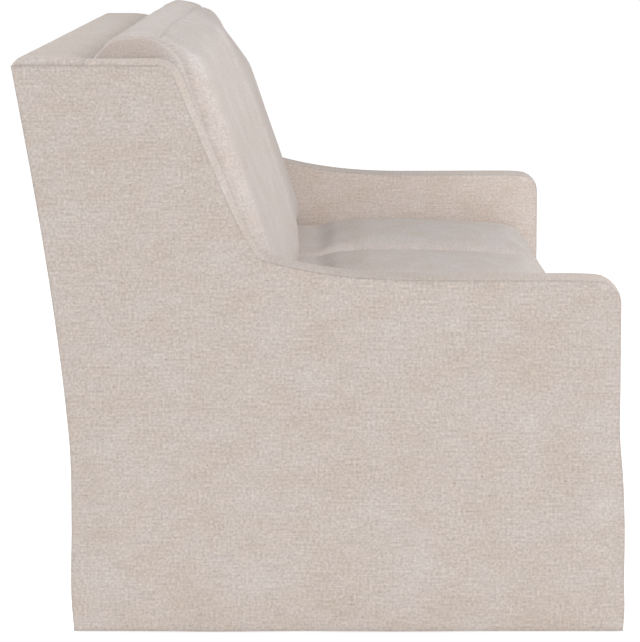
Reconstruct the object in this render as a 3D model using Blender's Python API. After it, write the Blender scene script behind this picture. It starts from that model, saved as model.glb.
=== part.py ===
"""A fitted linen slipcover for a long sofa with low wings, with its five cushions. Metres, +Z up.

X runs along the sofa and the front faces -Y. The hem is at Z = 0. Every panel of the cover is its own
sheet of cloth, CLOTH thick, sewn edge to edge over a hollow that the sofa's frame fills. Three seat
cushions lie on the deck, and two back cushions stand on them against the inside back.
"""

import math
from collections import namedtuple

import bmesh
import bpy
import numpy as np
from mathutils import Vector

# Driving dimensions, in metres.
LENGTH = 2.200  # over both side panels
CLOTH = 0.002  # one thickness of the linen with its turnings
GAP = 0.0003  # between pieces that touch
ARM_WIDTH = 0.115  # from the outer seam of an arm to the inner one
ARM_TOP = 0.5845  # height of the arm's top seam at the front
ARM_CORNER = 0.032  # radius of the arm's front top corner
ARM_DIP_REACH = 0.083  # the arm's top starts to dip this far behind its front edge
ARM_DIP_RADIUS = 0.700
WING_TOP = 0.9355  # height of the top seam, on the wings and along the back
WING_CORNER = 0.020  # radius of the wing's front top corner
DECK_TOP = 0.298  # height of the cloth under the seat cushions
TOP_CROWN = 0.0135  # how far the padded top rises above its seams
BAND_CROWN = 0.0035  # the same, on the narrow band over an arm
WING_CROWN = 0.0095  # and where that band goes up the wing
WING_CROWN_REACH = 0.120  # the height over which it grows to that
BAND_POWER = 0.8  # the higher, the softer the band leaves its seams

# How soon the padded top reaches its full height, coming in from each of its edges.
TOP_END_ROUND = 0.018
TOP_REAR_ROUND = 0.016
TOP_FRONT_ROUND = 0.045
WING_BLEND = 0.030
WING_SHARE = 0.4  # of the crown, where the top runs on over a wing

# The crook where the arm's top meets the wing, and where the arm starts to rise towards it.
CROOK_Y = 0.1035
CROOK_RISE = 0.0350
RISE_START_Y = -0.2000
RISE_POWER = 2.5
WING_FOOT_Y = 0.1174
WING_SLOPE = 0.414  # how far the wing's front edge goes back for each metre up
CROOK_BEND = 0.040  # height in which it turns from the crook to that slope
INNER_TOP_Y = 0.3890  # the inside back's top seam
INNER_SLOPE = 0.160

OUTER_X = LENGTH / 2
INNER_X = OUTER_X - ARM_WIDTH
CROOK_Z = ARM_TOP + CROOK_RISE

Line = namedtuple("Line", "height y")
REAR_EDGE = (
    Line(0.000, 0.4110),
    Line(0.045, 0.4145),
    Line(0.187, 0.4137),
    Line(0.304, 0.4153),
    Line(0.387, 0.4225),
    Line(0.553, 0.4424),
    Line(0.750, 0.4726),
    Line(0.9355, 0.5050),
)
FRONT_EDGE = (
    Line(0.000, -0.4990),
    Line(0.030, -0.5010),
    Line(0.080, -0.5000),
    Line(0.174, -0.4998),
    Line(0.254, -0.4960),
    Line(0.314, -0.4908),
    Line(0.420, -0.4900),
    Line(0.5845, -0.4895),
)

# Soft swells of the cloth: where along the panel, how high, their reach each way, how far they lean
# per metre up, and how far they stand out.
Swell = namedtuple("Swell", "along height reach tall lean rise")
SIDE_SWELLS = (
    Swell(0.330, 0.190, 0.040, 0.120, 0.22, 0.0060),
    Swell(-0.440, 0.200, 0.035, 0.100, -0.28, 0.0050),
    Swell(0.170, 0.020, 0.090, 0.110, 0.10, 0.0045),
    Swell(-0.130, 0.030, 0.120, 0.140, -0.12, 0.0035),
    Swell(-0.250, 0.330, 0.110, 0.120, 0.30, 0.0025),
)
REAR_SWELLS = (
    Swell(-0.930, 0.060, 0.070, 0.220, 0.10, 0.0060),
    Swell(-0.520, 0.020, 0.110, 0.160, -0.15, 0.0045),
    Swell(-0.100, 0.050, 0.090, 0.210, 0.08, 0.0055),
    Swell(0.380, 0.020, 0.120, 0.180, 0.12, 0.0045),
    Swell(0.900, 0.070, 0.080, 0.240, -0.10, 0.0060),
)
APRON_SWELLS = (
    Swell(-0.820, 0.010, 0.080, 0.150, 0.10, 0.0042),
    Swell(-0.430, 0.020, 0.090, 0.130, -0.12, 0.0040),
    Swell(0.020, 0.010, 0.110, 0.150, 0.06, 0.0042),
    Swell(0.470, 0.020, 0.080, 0.130, 0.14, 0.0040),
    Swell(0.860, 0.010, 0.090, 0.160, -0.08, 0.0042),
)
SWELL_MARGIN = 0.060  # swells fade out this close to a sewn edge
APRON_FADE = 0.7  # and a little sooner below the seat

# A cushion: its panels stand up from their seams by PUFF, within a few times PUFF_REACH of them.
PUFF = 0.009
PUFF_REACH = 0.010
SEAT_SEAM = 0.450  # height of a seat cushion's top seam
SEAT_CROWN = 0.044  # how far its top rises above that, with PUFF on top
SEAT_DOME = 0.36  # the lower, the fuller towards the seams
SEAT_SET_BACK = 0.030  # the top front seam stands this far behind the lower one
DRAWN_IN = 0.005  # the sides between the corners
UNDER_BACK_Y = -0.090  # from here back a seat cushion eases down to the level under the back cushions
UNDER_BACK_EASE = 0.090
BACK_FOOT = 0.475  # height at which a back cushion stands on the seat cushions
BACK_SEAM_TOP = 0.976  # height of its top seam at its ends
BACK_CROWN = 0.008  # how far that seam rises in between
BACK_BULGE = 0.028  # how far the front swells where it is fullest
BULGE_POWER = 3
BACK_SHOULDER, SHOULDER_Y = 0.9302, 0.2094  # a place on the front seam at an end, and the seam's slope
BACK_FRONT_SLOPE = 0.358
SHOULDER_DROP = 0.046  # from the top seam down to where the front is straight
TOP_SEAM_Y = 0.2690
SHARP_SHOULDER, FULL_SHOULDER = 1.5, 2.4
REAR_CORNER = 0.065
FOOT_CORNER = 0.020
LEAN_POWER = 2.0
END_FULLNESS = 0.16  # how full a back cushion is just inside its outer end
END_REACH = 0.055
INNER_END_POWER = 12  # the higher, the more suddenly its fullness ends at the inner end
WRAP = 0.022  # the front panel turns back by this at its outer end, over the last WRAP_REACH
WRAP_REACH = 0.032
SETTLED = 0.040  # how far the right cushion's shoulder has settled back, at its outer end
SETTLED_FROM, SETTLED_TO = 0.840, 0.940  # heights
SETTLED_POWER = 1.5
SETTLED_DROP = 0.15

# How finely each piece is divided.
ARM_COLUMNS, ARM_ROWS = 8, 11  # the arm's part of an end panel
OUTER_WING_COLUMNS, INNER_WING_COLUMNS, WING_ROWS = 7, 4, 7
BAND_COLUMNS = 6
BAND_FRONT_ROWS = 9
CORNER_SHARES = (0.5, 0.0)  # of the arm's corner, going up and then inward
NEAR_CORNER_Y = (-0.435, -0.400)  # on the arm's top, just behind its corner
ARM_LEVEL_Y = -0.340
WING_STEPS = (0.008, 0.022, 0.045, 0.110, 0.190)  # up the wing from the crook
WING_ARC = (30.0, 60.0, 90.0)  # degrees round the wing's top corner
TOP_GRID = (24, 8)
REAR_GRID = (30, 13)
REAR_POWER = 1.15  # rows closer together near the hem, where the cloth swells
APRON_GRID = (30, 7)
SEAT_CUTS = (9, 9, 3)
BACK_CUTS = (11, 5, 9)
EDGE_LINE = 1.9  # an edge of the cube of side 2 is longer than this along its own axis
AT_FACE = 0.9999  # a corner of the cube is on one of its faces from here on
SAME = 1e-6  # two shares this close are one
ARC_STEPS = 10  # corners along each rounded part of a section

LINEN = (0.610, 0.533, 0.490)
LINEN_ROUGHNESS = 0.90


def clear_scene():
    for thing in list(bpy.data.objects):
        bpy.data.objects.remove(thing, do_unlink=True)


def linen(name, shade=1.0):
    material = bpy.data.materials.new(name)
    material.use_nodes = True
    shader = material.node_tree.nodes["Principled BSDF"]
    shader.inputs["Base Color"].default_value = (*(shade * part for part in LINEN), 1.0)
    shader.inputs["Roughness"].default_value = LINEN_ROUGHNESS
    shader.inputs["Metallic"].default_value = 0.0
    return material


# The outline of the cover, seen from its end.


def smooth_line(rows, height):
    """The y of a line of rows at this height, as a curve with no kinks."""
    heights = [row.height for row in rows]
    values = [row.y for row in rows]
    slopes = np.gradient(values, heights)
    i = min(max(int(np.searchsorted(heights, height)) - 1, 0), len(rows) - 2)
    span = heights[i + 1] - heights[i]
    t = min(max((height - heights[i]) / span, 0.0), 1.0)
    start = (2 * t**3 - 3 * t**2 + 1) * values[i] + (t**3 - 2 * t**2 + t) * span * slopes[i]
    end = (3 * t**2 - 2 * t**3) * values[i + 1] + (t**3 - t**2) * span * slopes[i + 1]
    return float(start + end)


def rear_edge(z):
    return smooth_line(REAR_EDGE, z)


def front_edge(z):
    return smooth_line(FRONT_EDGE, z)


def arm_top(y):
    """The arm's top seam: level, rising to the crook behind, and dipping a little to the front."""
    t = min(max((y - RISE_START_Y) / (CROOK_Y - RISE_START_Y), 0.0), 1.0)
    past = max(FRONT_EDGE[-1].y + ARM_DIP_REACH - y, 0.0)
    return ARM_TOP + CROOK_RISE * t**RISE_POWER - past**2 / (2 * ARM_DIP_RADIUS)


def wing_edge(z):
    """The wing's front edge. It leaves the crook in a short curve."""
    up = z - CROOK_Z
    straight = WING_FOOT_Y + WING_SLOPE * up
    return straight - (WING_FOOT_Y - CROOK_Y) * math.exp(-up / CROOK_BEND)


def inner_back(z):
    return INNER_TOP_Y - INNER_SLOPE * (WING_TOP - z)


def rounded(inward, up, radius):
    """A square corner drawn in to an arc: distances from the front edge and from the top edge."""
    if inward >= radius or up >= radius:
        return inward, up
    a = 1 - inward / radius
    b = 1 - up / radius
    return (
        radius - radius * a * math.sqrt(1 - b * b / 2),
        radius - radius * b * math.sqrt(1 - a * a / 2),
    )


def arm_outline(inward, down):
    """A place on the arm's end, by its distances from the front edge and from the top edge."""
    top = arm_top(front_edge(ARM_TOP) + inward)
    inward, down = rounded(inward, down, ARM_CORNER)
    return front_edge(top - down) + inward, top - down


def eased(t):
    """Closer steps towards both ends."""
    return 0.5 - 0.5 * math.cos(math.pi * t)


def swell(rows, along, height, room):
    """How far the cloth stands out. It fades out at a sewn edge, `room` away."""
    out = 0.0
    for row in rows:
        middle = row.along + row.lean * (height - row.height)
        out += row.rise * math.exp(
            -(((along - middle) / row.reach) ** 2) - ((height - row.height) / row.tall) ** 2
        )
    return out * min(max(room / SWELL_MARGIN, 0.0), 1.0)


# Cloth panels.


def sheet(name, material, columns, rows, place, facing, keep=None):
    """A grid of cloth whose corners `place` puts in space, with its outer face turned to `facing`."""
    shape = bmesh.new()
    bmesh.ops.create_grid(shape, x_segments=columns, y_segments=rows, size=0.5)
    if keep:
        middles = {face: face.calc_center_median() for face in shape.faces}
        extra = [face for face, at in middles.items() if not keep(at.x + 0.5, at.y + 0.5)]
        bmesh.ops.delete(shape, geom=extra, context="FACES")
    for corner in shape.verts:
        corner.co = place(corner.co.x + 0.5, corner.co.y + 0.5)
    shape.normal_update()
    across = sum((face.normal * face.calc_area() for face in shape.faces), Vector())
    if across.dot(facing) < 0:
        bmesh.ops.reverse_faces(shape, faces=shape.faces)
    panel = finish(name, material, shape)
    thickness = panel.modifiers.new("cloth", "SOLIDIFY")
    thickness.thickness = CLOTH
    thickness.offset = -1.0
    thickness.use_even_offset = True
    return panel


def finish(name, material, shape):
    mesh = bpy.data.meshes.new(name)
    shape.to_mesh(mesh)
    shape.free()
    mesh.materials.append(material)
    mesh.shade_smooth()
    thing = bpy.data.objects.new(name, mesh)
    bpy.context.scene.collection.objects.link(thing)
    return thing


def outside_arm(name, material, side):
    """The big panel at an end of the sofa, from the hem to the top of its wing."""
    facing = Vector((side, 0, 0))
    end_panel(name, material, side * OUTER_X, 0.0, rear_edge, OUTER_WING_COLUMNS, SIDE_SWELLS, facing)


def inside_arm(name, material, side):
    """The panel behind the arm's inner seam, from the deck to the top of the wing."""
    facing = Vector((-side, 0, 0))
    end_panel(name, material, side * INNER_X, DECK_TOP + GAP, inside_arm_rear, INNER_WING_COLUMNS, (), facing)


def inside_arm_rear(z):
    return inner_back(z) + CLOTH


def end_panel(name, material, face_x, foot, back_line, wing_columns, swells, facing):
    """A panel across the sofa's end: the arm in front, and the wing over its last columns."""
    side = math.copysign(1.0, face_x)
    columns = ARM_COLUMNS + wing_columns
    rows = ARM_ROWS + WING_ROWS
    arm_share = ARM_COLUMNS / columns
    foot_share = ARM_ROWS / rows

    def place(u, v):
        low = min(v / foot_share, 1.0)
        high = max((v - foot_share) / (1 - foot_share), 0.0)
        if u <= arm_share + SAME and high <= SAME:
            depth = eased(u / arm_share / 2) * 2
            top = arm_top(front_edge(ARM_TOP) + depth * (CROOK_Y - front_edge(ARM_TOP)))
            z = foot + eased(low) * (top - foot)
            y = front_edge(z) + depth * (CROOK_Y - front_edge(z))
            inward, down = rounded(y - front_edge(z), top - z, ARM_CORNER)
            z = top - down
            y = front_edge(z) + inward
        else:
            back = max((u - arm_share) / (1 - arm_share), 0.0)
            z = foot + eased(low) * (CROOK_Z - foot) + eased(high) * (WING_TOP - CROOK_Z)
            start = wing_edge(z) if high > 0 else CROOK_Y
            y = start + back * (back_line(z) - start)
            if high > 0:
                inward, down = rounded(y - start, WING_TOP - z, WING_CORNER)
                z = WING_TOP - down
                y = wing_edge(z) + inward
        out = swell(swells, y, z, min(y - front_edge(z), back_line(z) - y, arm_top(y) - z))
        return Vector((face_x + side * out, y, z))

    def keep(u, v):
        return u > arm_share or v < foot_share

    return sheet(name, material, columns, rows, place, facing, keep)


def band_path():
    """Points up the front of an arm, along its top, up the wing and back to the top rail, with no kinks."""
    _, corner_foot = arm_outline(0.0, ARM_CORNER)
    path = [(front_edge(z), z) for z in np.linspace(0.0, corner_foot, BAND_FRONT_ROWS)]
    path += [arm_outline(0.0, share * ARM_CORNER) for share in CORNER_SHARES]
    path += [arm_outline((1 - share) * ARM_CORNER, 0.0) for share in CORNER_SHARES]
    path += [(y, arm_top(y)) for y in (*NEAR_CORNER_Y, *np.linspace(ARM_LEVEL_Y, CROOK_Y, BAND_FRONT_ROWS))]
    bend = WING_TOP - WING_CORNER
    path += [(wing_edge(CROOK_Z + up), CROOK_Z + up) for up in WING_STEPS]
    path.append((wing_edge(bend), bend))
    for angle in np.radians(WING_ARC):
        z = bend + WING_CORNER * math.sin(angle)
        path.append((wing_edge(z) + WING_CORNER * (1 - math.cos(angle)), z))
    path.append(((path[-1][0] + INNER_TOP_Y) / 2, WING_TOP))
    path.append((INNER_TOP_Y - GAP, WING_TOP))
    return path


def across_path(path, i):
    """The outward direction at a point of the path, in y and z."""
    before, after = path[max(i - 1, 0)], path[min(i + 1, len(path) - 1)]
    dy, dz = after[0] - before[0], after[1] - before[1]
    reach = math.hypot(dy, dz)
    return -dz / reach, dy / reach


def top_height(x, y):
    """The crowned top of the back. Over a wing it runs on level with the wing's own band."""
    along = min(max((OUTER_X - CLOTH - GAP - abs(x)) / TOP_END_ROUND, 0.0), 1.0)
    over_wing = min(max((abs(x) - INNER_X) / WING_BLEND, 0.0), 1.0)
    to_rear = min(max((rear_edge(WING_TOP) - y) / TOP_REAR_ROUND, 0.0), 1.0)
    to_front = min(max((y - INNER_TOP_Y) / TOP_FRONT_ROUND, 0.0), 1.0)
    front = to_front + (1 - to_front) * over_wing * WING_SHARE
    round_off = [math.sin(math.pi / 2 * share) for share in (along, to_rear, front)]
    return WING_TOP + TOP_CROWN * math.prod(round_off)


def arm_band(name, material, side):
    """The narrow strip over an arm: up its front, along its top, up the wing and onto the top."""
    path = band_path()
    inner, outer = INNER_X + CLOTH + GAP, OUTER_X - CLOTH - GAP

    def place(u, v):
        i = round(v * (len(path) - 1))
        y, z = path[i]
        out_y, out_z = across_path(path, i)
        x = inner + u * (outer - inner)
        if i >= len(path) - 2:
            return Vector((side * x, y, top_height(x, INNER_TOP_Y) if 0 < u else WING_TOP))
        rise = min(max((z - CROOK_Z) / WING_CROWN_REACH, 0.0), 1.0)
        crown = BAND_CROWN + (WING_CROWN - BAND_CROWN) * rise
        crown *= max(math.sin(math.pi * u), 0.0) ** BAND_POWER
        return Vector((side * x, y + out_y * crown, z + out_z * crown))

    return sheet(name, material, BAND_COLUMNS, len(path) - 1, place, Vector((0, -0.5, 1)))


def top_band(name, material):
    """The padded top of the back, from end to end."""
    half = OUTER_X - CLOTH - GAP
    rear = rear_edge(WING_TOP)

    def place(u, v):
        x = half * math.sin(math.pi * (u - 0.5))
        y = INNER_TOP_Y + eased(v) * (rear - INNER_TOP_Y)
        return Vector((x, y, top_height(x, y)))

    return sheet(name, material, *TOP_GRID, place, Vector((0, 0, 1)))


def outside_back(name, material):
    half = OUTER_X - CLOTH - GAP
    top = WING_TOP - CLOTH - 3 * GAP

    def place(u, v):
        x = half * (2 * u - 1)
        z = top * v**REAR_POWER
        out = swell(REAR_SWELLS, x, z, half - abs(x))
        return Vector((x, rear_edge(z) + out, z))

    return sheet(name, material, *REAR_GRID, place, Vector((0, 1, 0)))


def inside_back(name, material):
    half = INNER_X - GAP
    top = WING_TOP - CLOTH - 3 * GAP
    foot = DECK_TOP - CLOTH

    def place(u, v):
        z = foot + v * (top - foot)
        return Vector((half * (2 * u - 1), inner_back(z), z))

    return sheet(name, material, 1, 1, place, Vector((0, -1, 0)))


def deck(name, material):
    half = INNER_X - GAP
    front = front_edge(DECK_TOP) + CLOTH + 2 * GAP
    rear = inner_back(DECK_TOP - CLOTH) - GAP

    def place(u, v):
        return Vector((half * (2 * u - 1), front + v * (rear - front), DECK_TOP))

    return sheet(name, material, 1, 1, place, Vector((0, 0, 1)))


def apron(name, material):
    """The front of the cover below the seat cushions, between the two arms."""
    half = INNER_X + CLOTH

    def place(u, v):
        x = half * (2 * u - 1)
        z = v * DECK_TOP
        out = swell(APRON_SWELLS, x, z, min(half - abs(x), (DECK_TOP - z) * APRON_FADE))
        return Vector((x, front_edge(z) - out, z))

    return sheet(name, material, *APRON_GRID, place, Vector((0, -1, 0)))


# Cushions.


def boxed_form(cuts):
    """A cube of side 2 with more corners towards its edges, to be shaped into a cushion."""
    shape = bmesh.new()
    bmesh.ops.create_cube(shape, size=2.0)
    for axis, count in enumerate(cuts):
        along = [
            edge
            for edge in shape.edges
            if abs((edge.verts[0].co - edge.verts[1].co)[axis]) > EDGE_LINE
        ]
        bmesh.ops.subdivide_edges(shape, edges=along, cuts=count, use_grid_fill=True)
    for corner in shape.verts:
        corner.co = Vector([math.sin(math.pi / 2 * part) for part in corner.co])
    return shape


def dome(a, b, power):
    return max(1 - a * a, 0.0) ** power * max(1 - b * b, 0.0) ** power


def shape_cushion(cuts, half, place):
    """Puts each corner of the cube where the cushion has it. Its panels stand up from the twelve seams."""
    shape = boxed_form(cuts)
    for corner in shape.verts:
        spot = tuple(corner.co)
        to_seam = sorted((1 - abs(p)) * h for p, h in zip(spot, half))[1]
        stand = PUFF * (1 - math.exp(-to_seam / PUFF_REACH))
        point = place(*spot)
        for axis, p in enumerate(spot):
            if abs(p) > AT_FACE:
                point[axis] += math.copysign(stand, p)
        corner.co = point
    return shape


def under_back(y):
    """1 where the back cushions stand on the seat, easing to 0 in front of them."""
    return min(max((y - UNDER_BACK_Y) / UNDER_BACK_EASE, 0.0), 1.0)


def seat_cushion(name, material, middle_x, width):
    """A boxed cushion, crowned on top. It is flat underneath and where a back cushion stands on it."""
    front = front_edge(SEAT_SEAM)
    rear = inner_back(DECK_TOP) - 2 * GAP
    half = Vector((width / 2, (rear - front) / 2, (SEAT_SEAM - DECK_TOP - GAP) / 2))
    centre = Vector((middle_x, (rear + front) / 2, DECK_TOP + GAP + half.z))

    def place(a, b, c):
        x = a * (half.x - PUFF - DRAWN_IN * (1 - b * b) * c * c)
        y = b * (half.y - PUFF - DRAWN_IN * (1 - a * a) * c * c)
        y += SEAT_SET_BACK * max(-b, 0.0) ** 2 * ((1 + c) / 2) ** 3
        z = c * (half.z - PUFF if c < 0 else half.z)
        if c > 0:
            crowned = z + c * SEAT_CROWN * dome(a, b, SEAT_DOME)
            level = min(crowned, BACK_FOOT - GAP - PUFF - centre.z)
            z = crowned + (level - crowned) * under_back(centre.y + y)
        return centre + Vector((x, y, z))

    return finish(name, material, shape_cushion(SEAT_CUTS, half, place))


# A back cushion's section, drawn as the lines of its four sides.


def back_front_edge(z, full=0.0, settled=0.0):
    height = min(max((z - BACK_FOOT) / (BACK_SEAM_TOP - BACK_FOOT), 0.0), 1.0)
    bulge = full * BACK_BULGE * (1 - abs(2 * height - 1) ** BULGE_POWER)
    back = settled * min(max((z - SETTLED_FROM) / (SETTLED_TO - SETTLED_FROM), 0.0), 1.0)
    return SHOULDER_Y - BACK_FRONT_SLOPE * (BACK_SHOULDER - z) - bulge + back


def wrap(from_end):
    """How far the front panel has turned back, this near to its outer end."""
    near = 1 - min(from_end / WRAP_REACH, 1.0)
    return WRAP * (1 - math.sqrt(1 - near * near))


def rear_line(z):
    return inner_back(min(z, WING_TOP)) - 2 * GAP


def by_share(points):
    """Reads a line of points by the share of its length."""
    points = np.array(points)
    lengths = np.concatenate([[0.0], np.cumsum(np.hypot(*np.diff(points, axis=0).T))])
    return lambda share: np.array([np.interp(share, lengths / lengths[-1], points[:, k]) for k in (0, 1)])


def fullness(share):
    """From 0 at the outer end to its most near the inner one."""
    swelling = share**LEAN_POWER * math.sqrt(max(1 - share**INNER_END_POWER, 0.0))
    outer = END_FULLNESS * (1 - math.exp(-share / END_REACH)) * max(1 - share, 0.0) ** 0.5
    return swelling + outer


def front_line(share, settled):
    """The front panel's line, from the foot, over the shoulder, to the top seam."""
    full = fullness(share)
    settled *= (1 - share) ** SETTLED_POWER
    top = BACK_SEAM_TOP + BACK_CROWN * math.sin(math.pi * share) - SETTLED_DROP * settled
    middle_z = top - SHOULDER_DROP
    reach = TOP_SEAM_Y - back_front_edge(middle_z, full, settled)
    power = SHARP_SHOULDER + (FULL_SHOULDER - SHARP_SHOULDER) * full
    points = [(back_front_edge(BACK_FOOT, full) + FOOT_CORNER, BACK_FOOT)]
    heights = np.linspace(BACK_FOOT + FOOT_CORNER, middle_z, 4 * ARC_STEPS)
    points += [(back_front_edge(z, full, settled), z) for z in heights]
    for angle in np.linspace(0, math.pi / 2, 2 * ARC_STEPS)[1:]:
        side, up = math.cos(angle) ** (2 / power), math.sin(angle) ** (2 / power)
        points.append((TOP_SEAM_Y - reach * side, middle_z + SHOULDER_DROP * up))
    return by_share(points)


def rear_corner(angle):
    """A place on the rounded rear corner, by the angle of its radius above level."""
    z = BACK_SEAM_TOP - REAR_CORNER * (1 - math.sin(angle))
    y = rear_line(BACK_SEAM_TOP) - REAR_CORNER * (1 - math.cos(angle))
    return min(y, rear_line(z)), z


def rear_side():
    """The rear panel's line, from the foot to the middle of the rounded rear corner."""
    points = [(rear_line(BACK_FOOT) - FOOT_CORNER, BACK_FOOT)]
    heights = np.linspace(BACK_FOOT + FOOT_CORNER, BACK_SEAM_TOP - REAR_CORNER, 3 * ARC_STEPS)
    points += [(rear_line(z), z) for z in heights]
    points += [rear_corner(angle) for angle in np.linspace(0, math.pi / 4, ARC_STEPS)[1:]]
    return by_share(points)


def top_line(start):
    """The top boxing's line, from the front seam to the middle of the rear corner."""
    angles = np.linspace(math.pi / 2, math.pi / 4, ARC_STEPS)
    return by_share([tuple(start)] + [rear_corner(angle) for angle in angles])


def back_cushion(name, material, side, middle_x, width, settled):
    """A tall boxed cushion that leans on the inside back, leaner at its outer end, beside the wing."""
    half = Vector((width / 2, (rear_line(BACK_SHOULDER) - SHOULDER_Y) / 2, (BACK_SEAM_TOP - BACK_FOOT) / 2))

    def place(a, b, c):
        share = (1 - side * a) / 2
        front, rear = front_line(share, settled), rear_side()
        top = top_line(front(1.0))
        p, q = (b + 1) / 2, (c + 1) / 2
        foot = front(0.0) + p * (rear(0.0) - front(0.0))
        corners = (1 - q) * foot + q * ((1 - p) * front(1.0) + p * rear(1.0))
        y, z = (1 - p) * front(q) + p * rear(q) + (1 - q) * foot + q * top(p) - corners
        y += (1 - p) * wrap(share * width)
        if b > 0:
            y -= PUFF * b
        if c < 0:
            z -= PUFF * c
        return Vector((middle_x + a * (half.x - PUFF), y, z))

    return finish(name, material, shape_cushion(BACK_CUTS, half, place))


def build():
    clear_scene()
    body = linen("cover_linen")
    cushions = linen("cushion_linen", 1.03)
    for side, hand in ((-1, "left"), (1, "right")):
        outside_arm(f"outside_arm_{hand}", body, side)
        inside_arm(f"inside_arm_{hand}", body, side)
        arm_band(f"arm_band_{hand}", body, side)
    top_band("top_band", body)
    outside_back("outside_back", body)
    inside_back("inside_back", body)
    deck("deck", body)
    apron("apron", body)
    room = 2 * (INNER_X - GAP)
    for i, place in enumerate(("left", "middle", "right")):
        width = room / 3
        seat_cushion(f"seat_cushion_{place}", cushions, (i - 1) * width, width - 2 * GAP)
    for side, hand, settled in ((-1, "left", 0.0), (1, "right", SETTLED)):
        width = room / 2
        back_cushion(f"back_cushion_{hand}", cushions, side, side * width / 2, width - 2 * GAP, settled)


build()
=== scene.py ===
# %% [markdown]
# A fitted linen cover for a long sofa with low wings, and its five cushions.
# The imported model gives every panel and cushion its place. This lesson dresses each of them: a panel is
# cut again as a finer sheet, with its seams rolled in and the soft swells of hanging cloth, and a cushion
# is filled by a short cloth simulation. One weave is used throughout, laid along each piece's own cut.

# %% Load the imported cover
import math
from collections import namedtuple

import bmesh
import bpy
import numpy as np
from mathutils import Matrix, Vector, noise


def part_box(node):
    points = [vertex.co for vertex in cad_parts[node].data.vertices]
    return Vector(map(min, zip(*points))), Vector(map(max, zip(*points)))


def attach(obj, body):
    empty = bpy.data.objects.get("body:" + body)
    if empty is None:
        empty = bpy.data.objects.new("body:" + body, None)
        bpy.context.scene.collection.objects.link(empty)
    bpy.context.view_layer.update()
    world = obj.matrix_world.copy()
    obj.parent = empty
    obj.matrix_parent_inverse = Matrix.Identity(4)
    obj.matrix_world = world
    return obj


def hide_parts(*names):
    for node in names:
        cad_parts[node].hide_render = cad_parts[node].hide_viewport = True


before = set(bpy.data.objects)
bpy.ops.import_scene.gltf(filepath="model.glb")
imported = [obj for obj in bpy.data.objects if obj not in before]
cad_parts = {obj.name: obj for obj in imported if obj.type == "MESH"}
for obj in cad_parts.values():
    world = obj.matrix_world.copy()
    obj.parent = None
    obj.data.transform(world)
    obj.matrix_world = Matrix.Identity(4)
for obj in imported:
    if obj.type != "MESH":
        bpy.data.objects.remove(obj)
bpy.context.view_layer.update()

# %% [markdown]
# The camera comes first. It stands level with the near end, a long way off, a little above the back and
# tilted down, so that the far arm shows past the near one. The view is long and narrow, as a product
# photographer's is, and it needs no lens shift.

# %% The camera
SENSOR = 0.036
LENS = 0.1804
CAMERA_AWAY = 5.223  # from the near end panel
CAMERA_UP = 1.1926  # above the hem
CAMERA_Y = 0.0034
CAMERA_TILT = 0.1284  # radians below level
LENGTH = 2.200

view = bpy.data.cameras.new("end_view")
view.sensor_width = SENSOR * 1000
view.lens = LENS * 1000
view.clip_end = 60.0
camera = bpy.data.objects.new("end_view", view)
bpy.context.scene.collection.objects.link(camera)
camera.location = (-(LENGTH / 2 + CAMERA_AWAY), CAMERA_Y, CAMERA_UP)
camera.rotation_euler = (math.pi / 2 - CAMERA_TILT, 0.0, -math.pi / 2)
bpy.context.scene.camera = camera
print("camera at", tuple(round(v, 3) for v in camera.location))

# %% [markdown]
# The cover's outline is drawn once, as seen from its end, and every panel is cut from it. The rear line
# leans out towards the top. The front line is plumb down to the seat and swings out a little at the hem.
# The arm's top is level, then rises to the crook where the wing begins, and the wing leans back.

# %% The outline from the end
CLOTH = 0.002
GAP = 0.0003
ARM_WIDTH = 0.115
ARM_TOP = 0.5845
ARM_CORNER = 0.032
ARM_DIP_REACH = 0.083  # the arm's top falls away over this length, down to its front corner
ARM_DIP_RADIUS = 0.700
WING_TOP = 0.9355
WING_CORNER = 0.020
DECK_TOP = 0.298
CROOK_Y = 0.1035
CROOK_RISE = 0.0350
RISE_START_Y = -0.2000
RISE_POWER = 2.5
WING_FOOT_Y = 0.1174
WING_SLOPE = 0.414
CROOK_BEND = 0.040  # how soon the wing's edge runs straight above the crook
INNER_TOP_Y = 0.3890
INNER_SLOPE = 0.160
OUTER_X = LENGTH / 2
INNER_X = OUTER_X - ARM_WIDTH
CROOK_Z = ARM_TOP + CROOK_RISE
LOOKUP_ROWS = 400

Line = namedtuple("Line", "height y")
REAR_EDGE = (
    Line(0.000, 0.4110),
    Line(0.045, 0.4145),
    Line(0.187, 0.4137),
    Line(0.304, 0.4153),
    Line(0.387, 0.4225),
    Line(0.553, 0.4424),
    Line(0.750, 0.4726),
    Line(0.9355, 0.5050),
)
FRONT_EDGE = (
    Line(0.000, -0.4990),
    Line(0.030, -0.5010),
    Line(0.080, -0.5000),
    Line(0.174, -0.4998),
    Line(0.254, -0.4960),
    Line(0.314, -0.4908),
    Line(0.420, -0.4900),
    Line(0.5845, -0.4895),
)


def as_share(t):
    """Keeps a share between 0 and 1."""
    return min(max(t, 0.0), 1.0)


def smooth_line(rows, height):
    """The y of a line of rows at this height, as a curve with no kinks."""
    heights = [row.height for row in rows]
    values = [row.y for row in rows]
    slopes = np.gradient(values, heights)
    i = min(max(int(np.searchsorted(heights, height)) - 1, 0), len(rows) - 2)
    span = heights[i + 1] - heights[i]
    t = as_share((height - heights[i]) / span)
    start = (2 * t**3 - 3 * t**2 + 1) * values[i] + (t**3 - 2 * t**2 + t) * span * slopes[i]
    end = (3 * t**2 - 2 * t**3) * values[i + 1] + (t**3 - t**2) * span * slopes[i + 1]
    return float(start + end)


def lookup(rows):
    """The same curve read from a fine table, because the panels ask for it very often."""
    heights = np.linspace(rows[0].height, rows[-1].height, LOOKUP_ROWS)
    values = [smooth_line(rows, height) for height in heights]
    return lambda z: float(np.interp(z, heights, values))


rear_edge = lookup(REAR_EDGE)
front_edge = lookup(FRONT_EDGE)


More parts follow.
